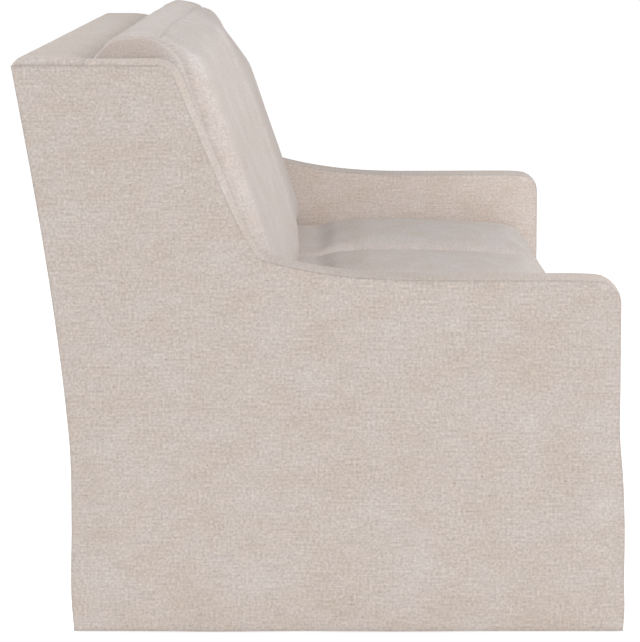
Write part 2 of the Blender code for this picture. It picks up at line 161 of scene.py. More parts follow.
def arm_top(y):
    """The arm's top seam: level, rising to the crook behind, and dipping a little to the front."""
    t = as_share((y - RISE_START_Y) / (CROOK_Y - RISE_START_Y))
    past = max(FRONT_EDGE[-1].y + ARM_DIP_REACH - y, 0.0)
    return ARM_TOP + CROOK_RISE * t**RISE_POWER - past**2 / (2 * ARM_DIP_RADIUS)


def wing_edge(z):
    """The wing's front edge. It leaves the crook in a short curve."""
    up = z - CROOK_Z
    return WING_FOOT_Y + WING_SLOPE * up - (WING_FOOT_Y - CROOK_Y) * math.exp(-up / CROOK_BEND)


def inner_back(z):
    """The inside back's line, leaning back with the wing's rear."""
    return INNER_TOP_Y - INNER_SLOPE * (WING_TOP - z)


def rounded(inward, up, radius):
    """A square corner drawn in to an arc: distances from the front edge and from the top edge."""
    if inward >= radius or up >= radius:
        return inward, up
    a = 1 - inward / radius
    b = 1 - up / radius
    return (
        radius - radius * a * math.sqrt(1 - b * b / 2),
        radius - radius * b * math.sqrt(1 - a * a / 2),
    )


def arm_outline(inward, down):
    """A place on the arm's end, by its distances from the front edge and from the top edge."""
    top = arm_top(front_edge(ARM_TOP) + inward)
    inward, down = rounded(inward, down, ARM_CORNER)
    return front_edge(top - down) + inward, top - down


print("side panel is", round(rear_edge(WING_TOP) - front_edge(0), 3), "m deep at its widest")

# %% [markdown]
# The linen. Close up it is a plain weave of uneven yarns: thick and thin places run along the weft, fewer
# along the warp, and specks of straw are spun in. From a step away this reads as a soft mottle, lighter and
# cooler in one place, darker and warmer in the next. The weave reads each piece's own UV map, which holds
# the cut in metres, so the yarns run along the cloth on every panel and turn with it at a seam. It is a
# node group, because cover and cushions both use it.

# %% The weave as a node group
Yarn = namedtuple("Yarn", "name per_metre_u per_metre_v detail weight seed")
YARNS = (
    Yarn("grain of the weave", 220.0, 230.0, 0.0, 0.36, 1),
    Yarn("weft slubs", 24.0, 320.0, 1.0, 0.26, 2),
    Yarn("warp slubs", 320.0, 40.0, 1.0, 0.19, 3),
)
STRAW = Yarn("specks of straw", 210.0, 300.0, 1.0, 0.70, 9)
STRAW_FROM, STRAW_TO = 0.675, 0.775  # how bright the noise is where a speck starts, and is whole
STRAW_COLOUR = (0.30, 0.22, 0.16)
TONE = Yarn("slow change of tone", 8.5, 12.0, 5.0, 1.95, 12)
TONE_ROUGHNESS = 0.75
NOISE_ROUGHNESS = 0.6
SEED_SHIFT = (7.3, 3.1, 1.0)  # a seed moves its noise by this much


def new_group(name, inputs, outputs):
    group = bpy.data.node_groups.new(name, "ShaderNodeTree")
    for label, kind, value in inputs:
        socket = group.interface.new_socket(label, in_out="INPUT", socket_type=kind)
        socket.default_value = value
    for label, kind in outputs:
        group.interface.new_socket(label, in_out="OUTPUT", socket_type=kind)
    return group, group.nodes.new("NodeGroupInput"), group.nodes.new("NodeGroupOutput")


def math_node(tree, operation, first, second=None, third=None):
    node = tree.nodes.new("ShaderNodeMath")
    node.operation = operation
    for socket, value in zip(node.inputs, (first, second, third)):
        if isinstance(value, (int, float)):
            socket.default_value = value
        elif value is not None:
            tree.links.new(value, socket)
    return node.outputs["Value"]


def colour_mix(tree, share, first, second):
    node = tree.nodes.new("ShaderNodeMix")
    node.data_type = "RGBA"
    for label, value in (("Factor", share), ("A", first), ("B", second)):
        socket = node.inputs[label]
        if isinstance(value, tuple):
            socket.default_value = (*value, 1.0)
        else:
            tree.links.new(value, socket)
    return node.outputs["Result"]


def yarn_noise(tree, place, yarn, roughness=NOISE_ROUGHNESS):
    """Noise drawn out along a yarn: so many features for each metre of u and of v."""
    mapping = tree.nodes.new("ShaderNodeMapping")
    mapping.label = yarn.name
    mapping.inputs["Scale"].default_value = (yarn.per_metre_u, yarn.per_metre_v, 1.0)
    mapping.inputs["Location"].default_value = [yarn.seed * shift for shift in SEED_SHIFT]
    tree.links.new(place, mapping.inputs["Vector"])
    cloud = tree.nodes.new("ShaderNodeTexNoise")
    cloud.noise_dimensions = "3D"
    cloud.inputs["Scale"].default_value = 1.0
    cloud.inputs["Detail"].default_value = yarn.detail
    cloud.inputs["Roughness"].default_value = roughness
    tree.links.new(mapping.outputs["Vector"], cloud.inputs["Vector"])
    return cloud.outputs["Fac"]


def weave_group():
    group, given, out = new_group(
        "linen_weave",
        [
            ("Place", "NodeSocketVector", (0.0, 0.0, 0.0)),
            ("Dark", "NodeSocketColor", (0.5, 0.5, 0.5, 1.0)),
            ("Light", "NodeSocketColor", (0.6, 0.6, 0.6, 1.0)),
            ("Contrast", "NodeSocketFloat", 1.0),
        ],
        [("Colour", "NodeSocketColor"), ("Height", "NodeSocketFloat")],
    )
    place = given.outputs["Place"]
    relief = 1.0
    for yarn in YARNS:
        raw = yarn_noise(group, place, yarn)
        part = math_node(group, "MULTIPLY_ADD", raw, yarn.weight, -0.5 * yarn.weight)
        relief = math_node(group, "ADD", part, relief)
    spread = math_node(group, "SUBTRACT", relief, 1.0)
    value = math_node(group, "MULTIPLY_ADD", spread, given.outputs["Contrast"], 1.0)
    slow = yarn_noise(group, place, TONE, TONE_ROUGHNESS)
    tone = math_node(group, "MULTIPLY_ADD", slow, TONE.weight, 0.5 - 0.5 * TONE.weight)
    cloth = colour_mix(group, tone, given.outputs["Dark"], given.outputs["Light"])
    shaded = group.nodes.new("ShaderNodeVectorMath")
    shaded.operation = "SCALE"
    group.links.new(cloth, shaded.inputs[0])
    group.links.new(value, shaded.inputs["Scale"])
    specks = group.nodes.new("ShaderNodeMapRange")
    specks.inputs["From Min"].default_value = STRAW_FROM
    specks.inputs["From Max"].default_value = STRAW_TO
    specks.inputs["To Max"].default_value = STRAW.weight
    group.links.new(yarn_noise(group, place, STRAW), specks.inputs["Value"])
    spun = math_node(group, "MULTIPLY", specks.outputs["Result"], given.outputs["Contrast"])
    group.links.new(colour_mix(group, spun, shaded.outputs["Vector"], STRAW_COLOUR), out.inputs["Colour"])
    group.links.new(relief, out.inputs["Height"])
    return group


linen_weave = weave_group()
print("weave group has", len(linen_weave.nodes), "nodes")

# %% [markdown]
# Two finishes share the weave. The cover's linen shows its mottle most. The cushions' linen is the same
# cloth, a shade cooler and with a quieter look where it is stretched over a filling. Both are dull, with a
# little sheen from the loose fibres. A point attribute paints shade into the colour down in its seams.

# %% The two linens
# The last field is painted shade: the share by which the colour is darkened down in a seam.
Finish = namedtuple("Finish", "name dark light contrast bump seam_shade")
COVER = Finish("cover_linen", (0.572, 0.4800, 0.412), (0.638, 0.5780, 0.548), 1.08, 0.30, 0.22)
CUSHION = Finish("cushion_linen", (0.568, 0.4860, 0.431), (0.634, 0.5810, 0.561), 0.85, 0.25, 0.08)
LINEN_ROUGHNESS = 0.92
LINEN_SHEEN = 0.10
LINEN_SHEEN_ROUGHNESS = 0.5
LINEN_SPECULAR = 0.2
BUMP_DEPTH = 0.0006


def linen(finish):
    material = bpy.data.materials.new(finish.name)
    material.use_nodes = True
    tree = material.node_tree
    shader = tree.nodes["Principled BSDF"]
    shader.inputs["Roughness"].default_value = LINEN_ROUGHNESS
    shader.inputs["Sheen Weight"].default_value = LINEN_SHEEN
    shader.inputs["Sheen Roughness"].default_value = LINEN_SHEEN_ROUGHNESS
    shader.inputs["Specular IOR Level"].default_value = LINEN_SPECULAR
    cut = tree.nodes.new("ShaderNodeUVMap")
    cut.uv_map = "cut"
    weave = tree.nodes.new("ShaderNodeGroup")
    weave.node_tree = linen_weave
    weave.inputs["Dark"].default_value = (*finish.dark, 1.0)
    weave.inputs["Light"].default_value = (*finish.light, 1.0)
    weave.inputs["Contrast"].default_value = finish.contrast
    tree.links.new(cut.outputs["UV"], weave.inputs["Place"])
    # Painted shade: the seam attribute darkens the base colour down in each seam, where the groove would
    # lie in shadow.
    seam = tree.nodes.new("ShaderNodeAttribute")
    seam.attribute_name = "seam"
    painted_shade = math_node(tree, "MULTIPLY_ADD", seam.outputs["Fac"], -finish.seam_shade, 1.0)
    shaded = tree.nodes.new("ShaderNodeVectorMath")
    shaded.operation = "SCALE"
    tree.links.new(weave.outputs["Colour"], shaded.inputs[0])
    tree.links.new(painted_shade, shaded.inputs["Scale"])
    tree.links.new(shaded.outputs["Vector"], shader.inputs["Base Color"])
    relief = tree.nodes.new("ShaderNodeBump")
    relief.inputs["Strength"].default_value = finish.bump
    relief.inputs["Distance"].default_value = BUMP_DEPTH
    tree.links.new(weave.outputs["Height"], relief.inputs["Height"])
    tree.links.new(relief.outputs["Normal"], shader.inputs["Normal"])
    return material


cover_linen = linen(COVER)
cushion_linen = linen(CUSHION)
print("finishes:", COVER.name, "and", CUSHION.name)

# %% [markdown]
# How a panel is cut. A grid of cloth is laid out with its lines closer together near the seams, each of its
# corners is put in its place on the cover, and a thickness is given to it behind. The last two
# millimetres before a seam roll in, as cloth does when it is sewn and turned, so two panels meet in a
# fine groove. The flat place of each corner is kept as the UV map.

# %% Cutting a panel
EDGE_STEPS = (0.0, 0.0005, 0.0012, 0.0022, 0.0045, 0.0090, 0.0150, 0.0230)
STEP = 0.0110
# SEAM_WIDTH is how wide the painted shade down in a seam spreads.
SEAM_WIDTH = 0.0018  # of the shade down in a seam
ROLL = 0.0022


def stations(length, step=STEP, start=True, end=True, edge=EDGE_STEPS):
    """Places along a cut, close together where the cloth rolls into a seam."""
    first = list(edge) if start else [0.0]
    last = [length - s for s in reversed(edge)] if end else [length]
    between = max(1, round((last[0] - first[-1]) / step))
    return first[:-1] + list(np.linspace(first[-1], last[0], between + 1)) + last[1:]


def roll(distance):
    """How far the cloth has turned in at this distance from its seam."""
    if distance >= ROLL:
        return 0.0
    rest = ROLL - max(distance, 0.0)
    return ROLL - math.sqrt(ROLL * ROLL - rest * rest)


def seam_mark(distance):
    """How much a place belongs to the seam: it sets the painted shade down in it, and how far a cushion's
    seam is sunk.
    """
    return math.exp(-((max(distance, 0.0) / SEAM_WIDTH) ** 2))


def finish_piece(name, shape, material, node):
    """A bmesh made into a piece of the cover, which takes its node's place."""
    mesh = bpy.data.meshes.new(name)
    shape.to_mesh(mesh)
    shape.free()
    mesh.materials.append(material)
    mesh.shade_smooth()
    piece = bpy.data.objects.new(name, mesh)
    bpy.context.scene.collection.objects.link(piece)
    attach(piece, "root")
    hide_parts(node)
    return piece


def cut_panel(name, node, across, along, place, facing, keep=None):
    """A panel of the cover. `place` gives a corner's point, its flat place and its distance to a seam."""
    shape = bmesh.new()
    columns, rows = len(across) - 1, len(along) - 1
    bmesh.ops.create_grid(shape, x_segments=columns, y_segments=rows, size=0.5)
    if keep:
        middles = {face: face.calc_center_median() for face in shape.faces}
        extra = [f for f, at in middles.items() if not keep((at.x + 0.5) * columns, (at.y + 0.5) * rows)]
        bmesh.ops.delete(shape, geom=extra, context="FACES")
    seam = shape.verts.layers.float.new("seam")
    flat = {}
    for corner in shape.verts:
        i = round((corner.co.x + 0.5) * columns)
        j = round((corner.co.y + 0.5) * rows)
        point, flat[corner.index], distance = place(i, j)
        corner.co = point
        corner[seam] = seam_mark(distance)
    cut = shape.loops.layers.uv.new("cut")
    for face in shape.faces:
        for loop in face.loops:
            loop[cut].uv = flat[loop.vert.index]
    shape.normal_update()
    across_face = sum((face.normal * face.calc_area() for face in shape.faces), Vector())
    if across_face.dot(facing) < 0:
        bmesh.ops.reverse_faces(shape, faces=shape.faces)
    piece = finish_piece(name, shape, cover_linen, node)
    thickness = piece.modifiers.new("cloth", "SOLIDIFY")
    thickness.thickness = CLOTH
    thickness.offset = -1.0
    print(name, len(piece.data.polygons), "faces")
    return piece


# %% [markdown]
# What makes cloth look hung rather than moulded is that it is never quite flat. Three things are added to
# a panel, all small. Swells are listed one by one, as seen in the cloth: where, how far they reach, how far
# they lean and how far they stand out. A slow wander of a millimetre or so covers the rest. Beside each
# seam the stitches draw the cloth into short puckers, which fade within two or three centimetres.

# %% Swells, wander and puckers
Swell = namedtuple("Swell", "along height reach tall lean rise")
SIDE_SWELLS = (
    Swell(0.330, 0.190, 0.040, 0.120, 0.22, 0.0060),
    Swell(-0.440, 0.200, 0.035, 0.100, -0.28, 0.0050),
    Swell(0.170, 0.020, 0.090, 0.110, 0.10, 0.0045),
    Swell(-0.130, 0.030, 0.120, 0.140, -0.12, 0.0035),
    Swell(-0.250, 0.330, 0.110, 0.120, 0.30, 0.0025),
)
REAR_SWELLS = (
    Swell(-0.930, 0.060, 0.070, 0.220, 0.10, 0.0060),
    Swell(-0.520, 0.020, 0.110, 0.160, -0.15, 0.0045),
    Swell(-0.100, 0.050, 0.090, 0.210, 0.08, 0.0055),
    Swell(0.380, 0.020, 0.120, 0.180, 0.12, 0.0045),
    Swell(0.900, 0.070, 0.080, 0.240, -0.10, 0.0060),
)
APRON_SWELLS = (
    Swell(-0.820, 0.010, 0.080, 0.150, 0.10, 0.0042),
    Swell(-0.430, 0.020, 0.090, 0.130, -0.12, 0.0040),
    Swell(0.020, 0.010, 0.110, 0.150, 0.06, 0.0042),
    Swell(0.470, 0.020, 0.080, 0.130, 0.14, 0.0040),
    Swell(0.860, 0.010, 0.090, 0.160, -0.08, 0.0042),
)
SWELL_MARGIN = 0.060  # swells fade out this close to a sewn edge
WANDER = 0.0014
WANDER_MARGIN = 0.030
SLOW_PER_METRE = (4.0, 3.0)
QUICK_PER_METRE = (13.0, 9.0)
QUICK_SHARE = 0.35
QUICK_SEED = 5.0
PUCKER = 0.0007
PUCKERS_PER_METRE = 70.0
FINE_PUCKERS_PER_METRE = 160.0
FINE_SHARE = 0.5
FINE_SEED = 3.0
PUCKER_REACH = 0.013  # how soon puckers fade, going away from the seam
PUCKER_START = 0.003  # they are at their deepest from here on


def swell(rows, along, height, room):
    """How far the cloth stands out. It fades out at a sewn edge, `room` away."""
    out = 0.0
    for row in rows:
        middle = row.along + row.lean * (height - row.height)
        out += row.rise * math.exp(
            -(((along - middle) / row.reach) ** 2) - ((height - row.height) / row.tall) ** 2
        )
    return out * as_share(room / SWELL_MARGIN)


def wander(u, v, seed, room):
    """A slow, uneven drift of the cloth, which dies out at a seam."""
    slow = noise.noise(Vector((u * SLOW_PER_METRE[0], v * SLOW_PER_METRE[1], seed)))
    quick = noise.noise(Vector((u * QUICK_PER_METRE[0], v * QUICK_PER_METRE[1], seed + QUICK_SEED)))
    return WANDER * (slow + QUICK_SHARE * quick) * as_share(room / WANDER_MARGIN)


def pucker(along, distance, seed):
    """Short hollows square to a seam, one for every stitch or two that pulls."""
    wide = noise.noise(Vector((along * PUCKERS_PER_METRE, seed, 0.0)))
    fine = noise.noise(Vector((along * FINE_PUCKERS_PER_METRE, seed, FINE_SEED)))
    near = math.exp(-distance / PUCKER_REACH) * min(distance / PUCKER_START, 1.0)
    return PUCKER * (wide + FINE_SHARE * fine) * near


print(len(SIDE_SWELLS), "swells on an end,", len(REAR_SWELLS), "behind and", len(APRON_SWELLS), "in front")


# %% [markdown]
# The end panels. The outside arm is one big piece: it covers the whole end, from the hem to the top.
# The inside arm follows the same outline, behind the arm's inner seam, from the deck up. Both are grids
# in which the part above the arm and in front of the wing is cut away.

# %% The end panels
ARM_DEPTH = CROOK_Y - front_edge(ARM_TOP)
WING_DEPTH = 0.300  # of the wing's part of the grid, which is then fitted between the wing's two lines
END_SEED = 3.0


def end_panel(name, node, face_x, foot, back_line, swells, facing, rolled_foot):
    """A panel across an end: the arm in front, and the wing over its last columns."""
    arm = stations(ARM_DEPTH, end=False)
    wing = stations(WING_DEPTH)
    low = stations(ARM_TOP - foot, start=rolled_foot)
    high = stations(WING_TOP - CROOK_Z)
    across = arm + [ARM_DEPTH + s for s in wing[1:]]
    along = low + [ARM_TOP - foot + s for s in high[1:]]
    arm_last, low_last = len(arm) - 1, len(low) - 1
    seed = END_SEED + face_x

    def place(i, j):
        if i <= arm_last and j <= low_last:
            share = arm[i] / ARM_DEPTH
            top = arm_top(front_edge(ARM_TOP) + share * ARM_DEPTH)
            z = foot + low[j] / (ARM_TOP - foot) * (top - foot)
            inward, down = share * (CROOK_Y - front_edge(z)), top - z
            distance = min(inward, down)
            inward, down = rounded(inward, down, ARM_CORNER)
            z = top - down
            y = front_edge(z) + inward
            room = min(inward, down)
        else:
            share = wing[max(i - arm_last, 0)] / WING_DEPTH
            rise = high[max(j - low_last, 0)]
            z = CROOK_Z + rise if j > low_last else foot + low[j] / (ARM_TOP - foot) * (CROOK_Z - foot)
            start = wing_edge(z) if j > low_last else CROOK_Y
            inward = share * (back_line(z) - start)
            y = start + inward
            if j > low_last:
                distance = min(inward, WING_TOP - z, back_line(z) - y)
                inward, down = rounded(inward, WING_TOP - z, WING_CORNER)
                z = WING_TOP - down
                y = wing_edge(z) + inward
                room = min(inward, down, back_line(z) - y)
            else:
                distance = min(math.hypot(inward, CROOK_Z - z), back_line(z) - y)
                room = distance
        if rolled_foot:
            distance = min(distance, z - foot)
        out = swell(swells, y, z, min(room, y - front_edge(z), back_line(z) - y))
        out += wander(y, z, seed, distance) + pucker(y + z, distance, seed) - roll(distance)
        return Vector((face_x + facing.x * out, y, z)), (y, z), distance

    def keep(i, j):
        return i > arm_last or j < low_last

    return cut_panel(name, node, across, along, place, facing, keep)


def inside_arm_rear(z):
    return inner_back(z) + CLOTH


for side, hand in ((-1, "left"), (1, "right")):
    panel = end_panel(
        f"outside_arm_{hand}_cloth",
        f"outside_arm_{hand}",
        side * OUTER_X,
        0.0,
        rear_edge,
        SIDE_SWELLS,
        Vector((side, 0, 0)),
        rolled_foot=False,
    )
    panel = end_panel(
        f"inside_arm_{hand}_cloth",
        f"inside_arm_{hand}",
        side * INNER_X,
        DECK_TOP + GAP,
        inside_arm_rear,
        (),
        Vector((-side, 0, 0)),
        rolled_foot=True,
    )

# %% [markdown]
# The arm band is the strip that covers an arm's thickness. It runs up the front from the hem, over the
# rounded corner, along the arm's top, up the wing and onto the top. The route is drawn once as a line in
# y and z and read by its length, and the strip is crowned a few millimetres between its two seams.

# %% The arm bands
BAND_CROWN = 0.0035
BAND_POWER = 0.8  # the higher, the softer the crown leaves its seams
WING_CROWN = 0.0095
WING_CROWN_REACH = 0.120
BAND_STEP = 0.012
BAND_SEED = 11.0
BAND_PUCKERS = 0.4  # the strip is stretched along its length, so its puckers are faint
TOP_CROWN = 0.0135
TOP_END_ROUND = 0.018  # how soon the top is at its full height, coming in from each edge
TOP_REAR_ROUND = 0.016
TOP_FRONT_ROUND = 0.045
WING_SHARE = 0.4  # of the crown, where the top runs on over a wing
WING_BLEND = 0.030
ONTO_TOP_FROM, ONTO_TOP_OVER = 0.090, 0.050  # lengths before the band's end, where it joins the top's crown
FRONT_STEPS, CORNER_STEPS, LONG_STEPS, WING_CORNER_STEPS = 60, 14, 90, 20  # points along the route
TURN_REACH = 0.005


def band_route():
    """Points along the strip's middle, and the length of cloth up to each."""
    _, corner_foot = arm_outline(0.0, ARM_CORNER)
    points = [(front_edge(z), z) for z in np.linspace(0.0, corner_foot, FRONT_STEPS)]
    points += [arm_outline(0.0, down) for down in np.linspace(ARM_CORNER, 0.0, CORNER_STEPS)[1:]]
    points += [arm_outline(inward, 0.0) for inward in np.linspace(0.0, ARM_CORNER, CORNER_STEPS)[1:]]
    points += [(y, arm_top(y)) for y in np.linspace(points[-1][0], CROOK_Y, LONG_STEPS)[1:]]
    bend = WING_TOP - WING_CORNER
    points += [(wing_edge(z), z) for z in np.linspace(CROOK_Z, bend, LONG_STEPS)[1:]]
    for angle in np.linspace(0, math.pi / 2, WING_CORNER_STEPS)[1:]:
        z = bend + WING_CORNER * math.sin(angle)
        points.append((wing_edge(z) + WING_CORNER * (1 - math.cos(angle)), z))
    points.append((INNER_TOP_Y - GAP, WING_TOP))
    points = np.array(points)
    lengths = np.concatenate([[0.0], np.cumsum(np.hypot(*np.diff(points, axis=0).T))])
    return points, lengths


ROUTE, ROUTE_LENGTHS = band_route()
BAND_LENGTH = float(ROUTE_LENGTHS[-1])


def on_route(length):
    """The y and z of the route, this far along it."""
    return tuple(float(np.interp(length, ROUTE_LENGTHS, ROUTE[:, axis])) for axis in (0, 1))


def route_normal(length):
    """The outward direction, taken over a centimetre, so that the band turns softly."""
    before, after = on_route(length - TURN_REACH), on_route(length + TURN_REACH)
    dy, dz = after[0] - before[0], after[1] - before[1]
    reach = math.hypot(dy, dz)
    return -dz / reach, dy / reach


def top_height(x, y):
    """The crowned top of the back. Over a wing it runs on level with the wing's own band."""
    along = as_share((OUTER_X - CLOTH - GAP - abs(x)) / TOP_END_ROUND)
    over_wing = as_share((abs(x) - INNER_X) / WING_BLEND)
    to_rear = as_share((rear_edge(WING_TOP) - y) / TOP_REAR_ROUND)
    to_front = as_share((y - INNER_TOP_Y) / TOP_FRONT_ROUND)
    front = to_front + (1 - to_front) * over_wing * WING_SHARE
    round_off = [math.sin(math.pi / 2 * share) for share in (along, to_rear, front)]
    return WING_TOP + TOP_CROWN * math.prod(round_off)


def arm_band(name, node, side):
    inner, outer = INNER_X + CLOTH + GAP, OUTER_X - CLOTH - GAP
    across = stations(outer - inner, step=BAND_STEP)
    along = stations(BAND_LENGTH, start=False, end=False)
    seed = BAND_SEED + side

    def place(i, j):
        u = across[i] / (outer - inner)
        length = along[j]
        y, z = on_route(length)
        out_y, out_z = route_normal(length)
        x = inner + across[i]
        edge = min(across[i], outer - inner - across[i])
        rise = as_share((z - CROOK_Z) / WING_CROWN_REACH)
        crown = BAND_CROWN + (WING_CROWN - BAND_CROWN) * rise
        crown *= max(math.sin(math.pi * u), 0.0) ** BAND_POWER
        onto_top = as_share((length - BAND_LENGTH + ONTO_TOP_FROM) / ONTO_TOP_OVER)
        padded = top_height(x, INNER_TOP_Y) - WING_TOP
        crown += (padded - crown) * onto_top
        out = crown + wander(x * 2, length, seed, edge) - roll(edge)
        out += BAND_PUCKERS * pucker(length, edge, seed)
        return Vector((side * x, y + out_y * out, z + out_z * out)), (side * x, length), edge

    band = cut_panel(name, node, across, along, place, Vector((0, -0.5, 1)))


for side, hand in ((-1, "left"), (1, "right")):
    arm_band(f"arm_band_{hand}_cloth", f"arm_band_{hand}", side)
print("arm band is", round(BAND_LENGTH, 3), "m long")

# %% [markdown]
# The top band is the back's crowned top, from end to end. It is sewn to the outside back behind, to the
# inside back in front, and over each wing to the arm band, where the cloth lies smooth over the seam.

# %% The top band
BACK_HALF = OUTER_X - CLOTH - GAP
TOP_STEPS = (0.014, 0.010)
TOP_SEED = 21.0
UNSEWN = 1.0  # stands for a seam too far away to matter


def top_band():
    half = BACK_HALF
    rear = rear_edge(WING_TOP)
    across = stations(2 * half, step=TOP_STEPS[0])
    along = stations(rear - INNER_TOP_Y, step=TOP_STEPS[1])

    def place(i, j):
        x = across[i] - half
        y = INNER_TOP_Y + along[j]
        at_front = along[j] if abs(x) < INNER_X else UNSEWN
        edge = min(half - abs(x), rear - y, at_front)
        z = top_height(x, y) + wander(x, y, TOP_SEED, edge) + pucker(x + y, edge, TOP_SEED) - roll(edge)
        return Vector((x, y, z)), (x, y), edge

    band = cut_panel("top_band_cloth", "top_band", across, along, place, Vector((0, 0, 1)))


top_band()

# %% [markdown]
# The outside back hangs from the top band down to the hem, and leans with the rear line. It is one plain
# width of cloth with nothing to hold it below its top seam but its two sides, so its swells run long.

# %% The outside back
BACK_TOP = WING_TOP - CLOTH - 3 * GAP
REAR_STEPS = (0.016, 0.013)
REAR_SEED = 31.0


def outside_back():
    half, top = BACK_HALF, BACK_TOP
    across = stations(2 * half, step=REAR_STEPS[0])
    along = stations(top, step=REAR_STEPS[1], start=False)

    def place(i, j):
        x, z = across[i] - half, along[j]
        edge = min(half - abs(x), top - z)
        out = swell(REAR_SWELLS, x, z, half - abs(x))
        out += wander(x, z, REAR_SEED, edge) + pucker(x + z, edge, REAR_SEED) - roll(edge)
        return Vector((x, rear_edge(z) + out, z)), (x, z), edge

    panel = cut_panel("outside_back_cloth", "outside_back", across, along, place, Vector((0, 1, 0)))


outside_back()

# %% [markdown]
# Inside, a panel runs down behind the back cushions and the deck lies under the seat cushions. The cushions
# hide nearly all of both, so their grids are coarser and they are left almost flat.

# %% The inside back and the deck
SEAT_HALF = INNER_X - GAP
INSIDE_STEP = 0.030
INSIDE_SEED = 41.0
INSIDE_WANDER = 0.5
DECK_STEP = 0.040


def inside_back():
    half = SEAT_HALF
    foot, top = DECK_TOP - CLOTH, BACK_TOP
    across = stations(2 * half, step=INSIDE_STEP)
    along = stations(top - foot, step=INSIDE_STEP)

    def place(i, j):
        x, z = across[i] - half, foot + along[j]
        edge = min(half - abs(x), top - z, z - foot)
        out = wander(x, z, INSIDE_SEED, edge) * INSIDE_WANDER - roll(edge)
        return Vector((x, inner_back(z) - min(out, 0.0), z)), (x, z), edge

    panel = cut_panel("inside_back_cloth", "inside_back", across, along, place, Vector((0, -1, 0)))


def deck():
    half = SEAT_HALF
    front = front_edge(DECK_TOP) + CLOTH + 2 * GAP
    rear = inner_back(DECK_TOP - CLOTH) - GAP
    across = stations(2 * half, step=DECK_STEP)
    along = stations(rear - front, step=DECK_STEP)

    def place(i, j):
        x, y = across[i] - half, front + along[j]
        edge = min(half - abs(x), y - front, rear - y)
        return Vector((x, y, DECK_TOP - roll(edge))), (x, y), edge

    panel = cut_panel("deck_cloth", "deck", across, along, place, Vector((0, 0, 1)))


inside_back()
deck()

# %% [markdown]
# The apron closes the front below the seat cushions, from arm to arm. It is sewn to the deck along its top
# and to the arm bands at its ends, and hangs free at the hem.

# %% The apron
APRON_STEPS = (0.014, 0.012)
APRON_SEED = 51.0
APRON_FADE = 0.7  # its swells fade out a little sooner below the seat


def apron():
    half = INNER_X + CLOTH
    across = stations(2 * half, step=APRON_STEPS[0])
    along = stations(DECK_TOP, step=APRON_STEPS[1], start=False)

    def place(i, j):
        x, z = across[i] - half, along[j]
        edge = min(half - abs(x), DECK_TOP - z)
        out = swell(APRON_SWELLS, x, z, min(half - abs(x), (DECK_TOP - z) * APRON_FADE))
        out += wander(x, z, APRON_SEED, edge) + pucker(x + z, edge, APRON_SEED) - roll(edge)
        return Vector((x, front_edge(z) - out, z)), (x, z), edge

    panel = cut_panel("apron_cloth", "apron", across, along, place, Vector((0, -1, 0)))


apron()

# %% [markdown]
# The cushions are boxed: a top and a bottom panel, or a front and a back one, joined by a strip round the
# sides. Each starts as a cube whose twelve edges are the seams. The cube is ruled into a grid that is
# closest beside the seams, and a function puts each of its corners where the cushion has it. Beside a seam
# the cloth stands up at once, because the filling presses it out and the stitches hold it down.

# %% Shaping a boxed cushion
CUSHION_EDGE = (0.0, 0.0022, 0.0055, 0.0110, 0.0190)
CUSHION_STEP = 0.0155
PUFF = 0.005  # how far a panel stands up from its seams
PUFF_REACH = 0.010
EDGE_LINE = 1.9  # an edge of a cube of side 2 is longer than this along its own axis
AT_FACE = 0.9999  # a corner is on one of the cube's faces from here on
ON_SEAM = 0.00001


def boxed_form(rulings):
    """A cube of side 2, cut along each axis at the places that its ruling gives."""
    shape = bmesh.new()
    bmesh.ops.create_cube(shape, size=2.0)
    for axis, marks in enumerate(rulings):
        along = [e for e in shape.edges if abs((e.verts[0].co - e.verts[1].co)[axis]) > EDGE_LINE]
        bmesh.ops.subdivide_edges(shape, edges=along, cuts=len(marks) - 2, use_grid_fill=True)
    for corner in shape.verts:
        even = [np.linspace(-1, 1, len(marks)) for marks in rulings]
        corner.co = Vector([np.interp(p, at, marks) for p, at, marks in zip(corner.co, even, rulings)])
    return shape


def dome(a, b, power):
    """From 0 at a panel's seams to 1 in its middle. The lower the power, the fuller it is near them."""
    return max(1 - a * a, 0.0) ** power * max(1 - b * b, 0.0) ** power


def shape_cushion(name, node, half, place):
    """Rules the cube, lays out its cut on the UV map, marks its seams and puts its corners in place."""
    rulings = [[s / h - 1 for s in stations(2 * h, CUSHION_STEP, edge=CUSHION_EDGE)] for h in half]
    shape = boxed_form(rulings)
    shape.normal_update()
    cut = shape.loops.layers.uv.new("cut")
    for face in shape.faces:
        axis = max(range(3), key=lambda k: abs(face.normal[k]))
        u, v = [k for k in range(3) if k != axis]
        for loop in face.loops:
            loop[cut].uv = (loop.vert.co[u] * half[u], loop.vert.co[v] * half[v])
    seam = shape.verts.layers.float.new("seam")
    sewn = []
    for corner in shape.verts:
        spot = tuple(corner.co)
        to_seam = sorted((1 - abs(p)) * h for p, h in zip(spot, half))[1]
        corner[seam] = seam_mark(to_seam)
        if to_seam < ON_SEAM:
            sewn.append(corner.index)
        point = place(*spot)
        stand = PUFF * (1 - math.exp(-to_seam / PUFF_REACH))
        for axis, p in enumerate(spot):
            if abs(p) > AT_FACE:
                point[axis] += math.copysign(stand, p)
        corner.co = point
    piece = finish_piece(name, shape, cushion_linen, node)
    group = piece.vertex_groups.new(name="sewn")
    group.add(sewn, 1.0, "REPLACE")
    print(name, len(piece.data.polygons), "faces,", len(sewn), "corners on seams")
    return piece


# %% [markdown]
# Three seat cushions lie on the deck side by side. They are crowned in front and pressed flat at the rear,
# where the back cushions stand on them.

